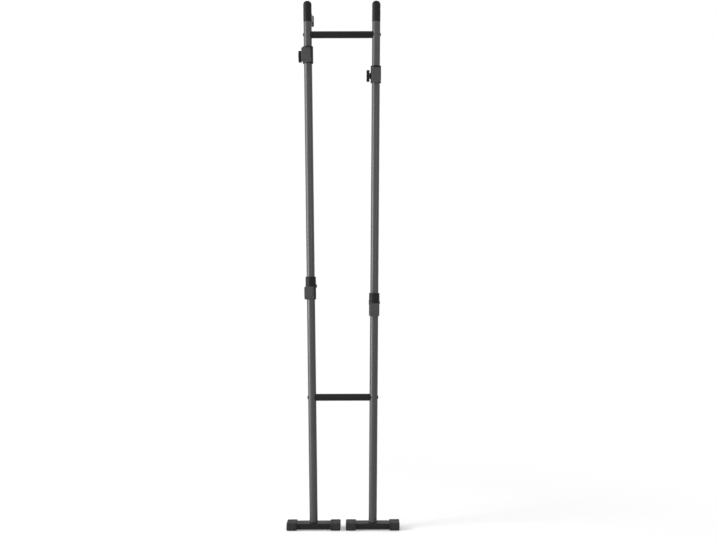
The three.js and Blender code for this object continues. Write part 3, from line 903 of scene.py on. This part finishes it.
# %% [markdown]
# The four holders are alike, apart from the post that they slide on and the side of their knob.
# So each piece is modelled once for a tier, on an upright post with the sleeve's foot at the
# origin, and copied to its place. The frame's tilt joints lie on the arms and give the heights.

# %% Where the holders are
ARM_HEIGHT = {"lower": 37 * MM, "upper": 15 * MM}
CRADLE_REACH = 145 * MM
SLEEVE_HEIGHT = {"lower": 98 * MM, "upper": 73 * MM}
KNOB_DIRECTION = {"lower": "Y", "upper": "-X"}
KNOB_HEIGHT = {"lower": 57 * MM, "upper": 30 * MM}


def on_sleeve(tier, name):
    """The place of a holder's sleeve foot on its post"""
    arm = joints[f"{tier}_{name}_cradle_tilt"]["pos_m"]
    return on_post(SIDES[name], arm[2] / math.cos(lean) - ARM_HEIGHT[tier])


def spread(master, tier, word, finish, body, slot, *nodes):
    """Copies a tier's master piece to both posts, dresses the copies and deletes the master"""
    for name in SIDES:
        holder = f"{tier}_{name}"
        copy = settle(copy_of(master, f"{holder}_{word}"), on_sleeve(tier, name))
        dress(copy, finish, f"{holder}_{body}", slot, *[f"{holder}_{node}" for node in nodes])
    bpy.data.objects.remove(master)


for tier in TIERS:
    feet = [round(on_sleeve(tier, name).translation.z, 4) for name in SIDES]
    print(tier, "sleeves stand at", feet)

# %% [markdown]
# A sleeve is a moulded collar with a boss for the arm in front and a smaller boss for the clamp
# screw. It starts as a cylinder with a shallow groove near each end. The bosses are joined on, the
# bores are cut, and the moulding step rounds the corners.

# %% Sleeves
SLEEVE_RADIUS = 22.5 * MM
ARM_BOSS_RADIUS = 15 * MM
ARM_BOSS_REACH = 42 * MM
ARM_BACK = 21 * MM
ARM_RADIUS = 10 * MM
KNOB_BOSS_RADIUS = 13 * MM
KNOB_BOSS_REACH = 27 * MM
NUT_RADIUS = 7.85 * MM
NUT_DEPTH = 5.3 * MM
PIN_RADIUS = 2.3 * MM
PIN_PLACE = 32.25 * MM
PIN_CUTTER = 40 * MM
SLEEVE_GROOVE = (7 * MM, 10 * MM)
SLEEVE_GROOVE_DEPTH = 0.9 * MM


def pin_cutter(height):
    """A rod across the arm, which cuts the pin's hole in the sleeve and in the arm"""
    start = (-PIN_CUTTER / 2, -PIN_PLACE, height)
    return add_rod("pin_hole", PIN_RADIUS, PIN_CUTTER, start, "X", sides=24)


def make_sleeve(tier):
    """The sleeve of a tier, with its foot at the origin"""
    height = SLEEVE_HEIGHT[tier]
    arm_height = ARM_HEIGHT[tier]
    knob_foot = Vector((0, 0, KNOB_HEIGHT[tier]))
    knob_way = KNOB_DIRECTION[tier]
    sleeve = add_rod(f"{tier}_sleeve", SLEEVE_RADIUS, height, sides=TUBE_SIDES)
    near, far = SLEEVE_GROOVE
    groove_round(sleeve, [(near, far), (height - far, height - near)], SLEEVE_GROOVE_DEPTH)
    join(sleeve, add_rod("arm_boss", ARM_BOSS_RADIUS, ARM_BOSS_REACH, (0, 0, arm_height), "-Y"))
    join(sleeve, add_rod("knob_boss", KNOB_BOSS_RADIUS, KNOB_BOSS_REACH, knob_foot, knob_way))
    cut(sleeve, add_rod("bore", POST_RADIUS + SEAT_GAP, height + 4 * OVERRUN,
                        (0, 0, -2 * OVERRUN), sides=TUBE_SIDES))
    arm_start = (0, -ARM_BACK, arm_height)
    cut(sleeve, add_rod("arm_bore", ARM_RADIUS + SEAT_GAP, ARM_BOSS_REACH, arm_start, "-Y"))
    nut_start = along(knob_way) @ Vector((0, 0, KNOB_BOSS_REACH - NUT_DEPTH)) + knob_foot
    cut(sleeve, add_rod("nut_pocket", NUT_RADIUS, 2 * NUT_DEPTH, nut_start, knob_way, sides=6))
    cut(sleeve, pin_cutter(arm_height))
    return mould(sleeve, COLLAR_VOXEL)


for tier in TIERS:
    sleeve = make_sleeve(tier)
    print(tier, "sleeve:", len(sleeve.data.polygons), "faces")
    spread(sleeve, tier, "sleeve_moulding", grained_plastic, "holder", "black_plastic", "sleeve")

# %% [markdown]
# The clamp knob is a thick disc with seven flutes for the fingers. Seven upright rods, set in a
# ring just outside the disc, cut the flutes. Its outer face is inset and pushed in a little, and
# moulding rounds the lobes. The stud is a separate steel rod, moulded into the knob, that turns
# in the sleeve's nut and presses on the post.

# %% Clamp knobs
KNOB_RADIUS = 25 * MM
KNOB_THICKNESS = 13 * MM
KNOB_INNER = 27.3 * MM
KNOB_FLUTES = 7
FLUTE_RADIUS = 8 * MM
FLUTE_RING = 30.6 * MM
KNOB_DISH_RADIUS = 17 * MM
KNOB_DISH = 1 * MM
KNOB_VOXEL = 0.55 * MM
STUD_RADIUS = 4 * MM
STUD_GAP = 0.1 * MM


def on_knob(tier):
    """The place and turn of a tier's knob, from the sleeve's foot"""
    return Matrix.Translation((0, 0, KNOB_HEIGHT[tier])) @ along(KNOB_DIRECTION[tier])


def make_knob(tier):
    """The knob of a tier, round the sleeve's foot at the origin"""
    knob = add_rod(f"{tier}_knob", KNOB_RADIUS, KNOB_THICKNESS, (0, 0, KNOB_INNER),
                   sides=TUBE_SIDES)
    enter_edit(knob)
    pick(knob, "FACE", lambda face: face.normal.z > FACING)
    bpy.ops.mesh.inset(thickness=KNOB_RADIUS - KNOB_DISH_RADIUS)
    pull(z=-KNOB_DISH)
    leave_edit()
    for i in range(KNOB_FLUTES):
        angle = 2 * math.pi * (i + 0.5) / KNOB_FLUTES
        place = (FLUTE_RING * math.cos(angle), FLUTE_RING * math.sin(angle), KNOB_INNER - OVERRUN)
        cut(knob, add_rod("flute", FLUTE_RADIUS, KNOB_THICKNESS + 2 * OVERRUN, place))
    mould(knob, KNOB_VOXEL)
    return settle(knob, on_knob(tier))


def make_stud(tier):
    """The steel stud of a tier's knob"""
    tip = POST_RADIUS + SEAT_GAP
    length = KNOB_INNER - tip - STUD_GAP
    stud = add_rod(f"{tier}_stud", STUD_RADIUS, length, (0, 0, tip), sides=32)
    return settle(break_edges(stud), on_knob(tier))


for tier in TIERS:
    knob = make_knob(tier)
    print(tier, "knob:", len(knob.data.polygons), "faces")
    spread(knob, tier, "knob_moulding", grained_plastic, "clamp", "black_plastic", "knob")
    spread(make_stud(tier), tier, "knob_stud", bright_zinc, "clamp", "zinc_plate")

# %% [markdown]
# The arm is a steel tube with a solid plug in its front end, where the tilt bolt screws in. Most
# of it shows between the sleeve's boss and the cradle. The tilt bolt's head lies inside the rubber
# U, below its surface, so that it never touches what the U carries.

# %% Arms and tilt bolts
ARM_FRONT = 112.7 * MM
ARM_BREAK = 0.8 * MM
THREAD_RADIUS = 3.3 * MM
THREAD_DEPTH = 16 * MM
TILT_BOLT = {"head": 6.5 * MM, "height": 4 * MM, "shank": 3 * MM, "socket": 2.9 * MM}
TILT_HEAD_SEAT = 117.3 * MM
TILT_LENGTH = 18 * MM


def make_arm(tier):
    """An arm, which runs forward from the sleeve"""
    height = ARM_HEIGHT[tier]
    arm = add_rod(f"{tier}_arm", ARM_RADIUS, ARM_FRONT - ARM_BACK, (0, -ARM_BACK, height), "-Y",
                  sides=TUBE_SIDES)
    break_edges(arm, ARM_BREAK, segments=3)
    thread_end = (0, THREAD_DEPTH - ARM_FRONT, height)
    length = THREAD_DEPTH + 4 * OVERRUN
    cut(arm, add_rod("thread", THREAD_RADIUS, length, thread_end, "-Y", sides=32))
    cut(arm, pin_cutter(height))
    return shade(arm)


for tier in TIERS:
    spread(make_arm(tier), tier, "arm_tube", post_coat, "holder", "powder_coat", "arm")
    head_top = (0, -TILT_HEAD_SEAT - TILT_BOLT["height"], ARM_HEIGHT[tier])
    bolt = make_bolt(f"{tier}_tilt", TILT_BOLT, head_top, "-Y", TILT_LENGTH)
    spread(bolt, tier, "tilt_bolt_head", black_zinc, "holder", "black_fasteners", "tilt_bolt")
print("arms reach", round(ARM_FRONT, 4), "in front of the posts")

# %% [markdown]
# The cradle is a steel strap bent into a U, with thick rubber moulded round it. The rubber is
# easiest from the side: its outline is drawn flat, as one strip of faces, and then pulled out to
# its width. The strip starts as a plane for one leg. Its lower edge is spun round the bend, pulled
# along the bottom, spun round the other bend and pulled up the other leg. Both strips, of rubber
# and of steel, bend about the same two centres, so one function draws either.

# %% The U seen from the side
BEND_CENTRE_Y = 11 * MM
BEND_CENTRE_Z = -8 * MM
BEND_STEPS = 12


def make_u(name, thickness, middle, top):
    """A flat U strip at X 0, about the arm's axis: middle is where a leg's middle stands in Y"""
    leg = top - BEND_CENTRE_Z
    bpy.ops.mesh.primitive_plane_add(size=1, rotation=(0, math.radians(90), 0))
    strip = take(name)
    place = Matrix.Translation((0, middle, BEND_CENTRE_Z + leg / 2))
    settle(strip, place @ Matrix.Diagonal((1, thickness, leg, 1)))
    enter_edit(strip)
    pick(strip, "EDGE", lies_on(Z, BEND_CENTRE_Z))
    for side in (1, -1):
        centre = (0, side * BEND_CENTRE_Y, BEND_CENTRE_Z)
        bpy.ops.mesh.spin(steps=BEND_STEPS, angle=math.radians(90), center=centre, axis=(1, 0, 0))
        if side > 0:
            pull(y=-2 * BEND_CENTRE_Y)
    pull(z=leg)
    pick_all()
    bpy.ops.mesh.remove_doubles(threshold=NEAR)
    leave_edit()
    return strip


def widen(strip, width):
    """Pulls a flat strip out along X to its width, the same way to both sides"""
    enter_edit(strip)
    pick_all()
    bpy.ops.transform.translate(value=(-width / 2, 0, 0))
    pull(x=width)
    pick_all()
    bpy.ops.mesh.normals_make_consistent(inside=False)
    leave_edit()


PAD_WIDTH = 37 * MM
PAD_THICKNESS = 13 * MM
PAD_MIDDLE = 29.5 * MM
PAD_TOP = 20 * MM
pad = make_u("pad", PAD_THICKNESS, PAD_MIDDLE, PAD_TOP)
print("the U is", [round(v / MM, 1) for v in pad.dimensions], "mm in X, Y and Z")

# %% [markdown]
# Seen from the side, the two leg ends are half rounds, which a vertex bevel makes of their four
# corners while the strip is still flat. Once it is pulled out, the rims of both side faces get
# their mould radius with an edge bevel. They are the edges where a side face meets the rest.

# %% Cradle pads
PAD_RIM = 3 * MM
LEG_END_SHARE = 0.49

enter_edit(pad)
pick(pad, "VERT", lambda vert: abs(vert.co.z - PAD_TOP) < NEAR)
bevel(LEG_END_SHARE * PAD_THICKNESS, segments=8, affect="VERTICES")
leave_edit()
widen(pad, PAD_WIDTH)


def is_rim(edge):
    """True where a side face meets a face that isn't one"""
    return {abs(face.normal.x) > FACING for face in edge.link_faces} == {True, False}


enter_edit(pad)
pick(pad, "EDGE", is_rim)
bevel(PAD_RIM, segments=5)
leave_edit()
print("pad size in mm:", [round(v / MM, 1) for v in pad.dimensions])

# %% [markdown]
# Shallow grooves across the inside of the U give grip: three on each leg and four on the floor,
# each cut by one thin rod. The steel strap's room is cut out of the middle of the rubber, and last
# come the holes for the arm and for the bolt's head.

# %% Grooves, strap room and holes in the pads
GRIP_RADIUS = 1.1 * MM
GRIP_OFFSET = 0.5 * MM
GRIP_LEG_HEIGHTS = (11 * MM, 4.5 * MM, -2 * MM)
GRIP_FLOOR_PLACES = (-9 * MM, -3 * MM, 3 * MM, 9 * MM)
GRIP_CUTTER = 60 * MM
PAD_INNER_HALF = 23 * MM
PAD_FLOOR = -20 * MM
STRAP_WIDTH = 30.6 * MM
STRAP_THICKNESS = 4.6 * MM
STRAP_MIDDLE = 30 * MM
STRAP_TOP = 13.3 * MM
ARM_HOLE = {"radius": 11 * MM, "length": 12 * MM}
HEAD_HOLE = {"radius": 8 * MM, "length": 14 * MM}

leg_y = PAD_INNER_HALF - GRIP_OFFSET
grip_places = [(end * leg_y, z) for end in (-1, 1) for z in GRIP_LEG_HEIGHTS]
grip_places += [(y, PAD_FLOOR + GRIP_OFFSET) for y in GRIP_FLOOR_PLACES]
for y, z in grip_places:
    start = (-GRIP_CUTTER / 2, y, z)
    cut(pad, add_rod("grip", GRIP_RADIUS, GRIP_CUTTER, start, "X", sides=16))

strap_room = make_u("strap_room", STRAP_THICKNESS, STRAP_MIDDLE, STRAP_TOP)
widen(strap_room, STRAP_WIDTH)
cut(pad, strap_room)
cut(pad, add_rod("arm_hole", **ARM_HOLE, start=(0, STRAP_MIDDLE, 0), direction="Y"))
head_hole_start = (0, STRAP_MIDDLE - HEAD_HOLE["length"], 0)
cut(pad, add_rod("head_hole", **HEAD_HOLE, start=head_hole_start, direction="Y"))
shade(pad)
for tier in TIERS:
    on_arm = Matrix.Translation((0, -CRADLE_REACH, ARM_HEIGHT[tier]))
    master = settle(copy_of(pad, f"{tier}_pad"), on_arm)
    spread(master, tier, "cradle_cover", cradle_rubber, "rest", "grey_rubber", "cradle_pad")
bpy.data.objects.remove(pad)
print("grooves in each pad:", len(grip_places))

# %% [markdown]
# The last CAD pieces are small and mostly hidden: the nuts and pins in the sleeves, and the steel
# straps inside the rubber. Their shapes are right, so they only get their finishes.

# %% Finishes for the CAD pieces that stay
stays = {"arm_pin": bright_zinc, "nut": bright_zinc, "cradle": painted_shade_coat}
for tier in TIERS:
    for name in SIDES:
        for word, finish in stays.items():
            node = frame["nodes"][f"{tier}_{name}_{word}"]
            node.data.materials.clear()
            node.data.materials.append(finish)
print("CAD pieces that stay:", len(stays) * len(TIERS) * len(SIDES))

# %% [markdown]
# The setting is as plain as a catalogue picture: a white floor that runs out of sight. The floor
# adds a little light of its own towards the camera alone, so that it still shows the rack's
# shadow, and further out it fades to a full white there, so that it meets the white world without
# a line. A Light Path node tells which rays come from the camera.

# %% Floor
FLOOR_SIZE = 60
FLOOR_COLOUR = (0.82, 0.82, 0.82, 1)
FLOOR_ROUGHNESS = 0.9
FLOOR_GLOW = 0.22
FLOOR_FADE = (0.6, 2)
WHITE = (1, 1, 1, 1)

bpy.ops.mesh.primitive_plane_add(size=FLOOR_SIZE, location=(0, 0, -MM))
floor = take("floor")
floor_paint = bpy.data.materials.new("floor_paint")
floor_paint.use_nodes = True
tree = floor_paint.node_tree
links = tree.links
paint = tree.nodes["Principled BSDF"]
paint.inputs["Base Color"].default_value = FLOOR_COLOUR
paint.inputs["Roughness"].default_value = FLOOR_ROUGHNESS
paint.inputs["Emission Color"].default_value = WHITE
seen = add_node(tree, "LightPath").outputs["Is Camera Ray"]
links.new(reckon(tree, "MULTIPLY", seen, FLOOR_GLOW), paint.inputs["Emission Strength"])

distance = add_node(tree, "VectorMath")
distance.operation = "LENGTH"
links.new(add_node(tree, "TexCoord").outputs["Object"], distance.inputs[0])
fade = add_node(tree, "MapRange", From_Min=FLOOR_FADE[0], From_Max=FLOOR_FADE[1])
fade.interpolation_type = "SMOOTHSTEP"
links.new(distance.outputs["Value"], fade.inputs["Value"])
blend = add_node(tree, "MixShader")
links.new(reckon(tree, "MULTIPLY", fade.outputs["Result"], seen), blend.inputs["Fac"])
links.new(paint.outputs["BSDF"], blend.inputs[1])
links.new(add_node(tree, "Emission").outputs["Emission"], blend.inputs[2])
links.new(blend.outputs["Shader"], tree.nodes["Material Output"].inputs["Surface"])
floor.data.materials.append(floor_paint)
print("floor fades to white from", FLOOR_FADE[0], "to", FLOOR_FADE[1], "metres out")

# %% [markdown]
# The camera sees the world at full white, and so do mirrors and glass, while the light that the
# world sheds on the rack is set apart. Two backgrounds are mixed for this, and the Light Path
# node picks the white one for all three kinds of ray.

# %% World
WORLD_LIGHT = 0.7

world = bpy.data.worlds.new("studio")
bpy.context.scene.world = world
world.use_nodes = True
tree = world.node_tree
light = tree.nodes["Background"]
light.inputs["Color"].default_value = WHITE
light.inputs["Strength"].default_value = WORLD_LIGHT
rays = add_node(tree, "LightPath")
seen = rays.outputs["Is Camera Ray"]
for ray in ("Is Glossy Ray", "Is Transmission Ray"):
    seen = reckon(tree, "MAXIMUM", seen, rays.outputs[ray])
mix = add_node(tree, "MixShader")
tree.links.new(seen, mix.inputs["Fac"])
tree.links.new(light.outputs["Background"], mix.inputs[1])
shown = add_node(tree, "Background", Color=WHITE)
tree.links.new(shown.outputs["Background"], mix.inputs[2])
tree.links.new(mix.outputs["Shader"], tree.nodes["World Output"].inputs["Surface"])
bpy.context.scene.view_settings.view_transform = "Standard"
print("world sheds", WORLD_LIGHT, "and shows white")

# %% [markdown]
# Two soft boxes light the rack. The key is taller than the rack and stands to its left in front,
# so it puts a long highlight on the left of each post, from top to bottom, which is what makes a
# dark tube look round. The fill is weaker and stands on the right. Both are large, so the shadows
# on the floor stay faint.

# %% Lamps
rack_middle = (cad_box[0] + cad_box[1]) / 2
KEY = {"place": (-3.2, -1.2, 1.55), "target": (0, 0, 1.55), "width": 1.4, "height": 2.9}
FILL = {"place": (2.4, -3.2, 1.8), "target": rack_middle, "width": 1.6, "height": 1.6}
KEY_WATTS = 150
FILL_WATTS = 20


def add_soft_box(name, place, target, width, height, watts):
    """An upright area lamp that faces a target"""
    bpy.ops.object.light_add(type="AREA", location=place)
    lamp = bpy.context.active_object
    lamp.name = name
    lamp.data.shape = "RECTANGLE"
    lamp.data.size = width
    lamp.data.size_y = height
    lamp.data.energy = watts
    lamp.rotation_euler = (Vector(target) - Vector(place)).to_track_quat("-Z", "Y").to_euler()
    return lamp


key = add_soft_box("key", **KEY, watts=KEY_WATTS)
fill = add_soft_box("fill", **FILL, watts=FILL_WATTS)
print("lamps:", key.name, fill.name)
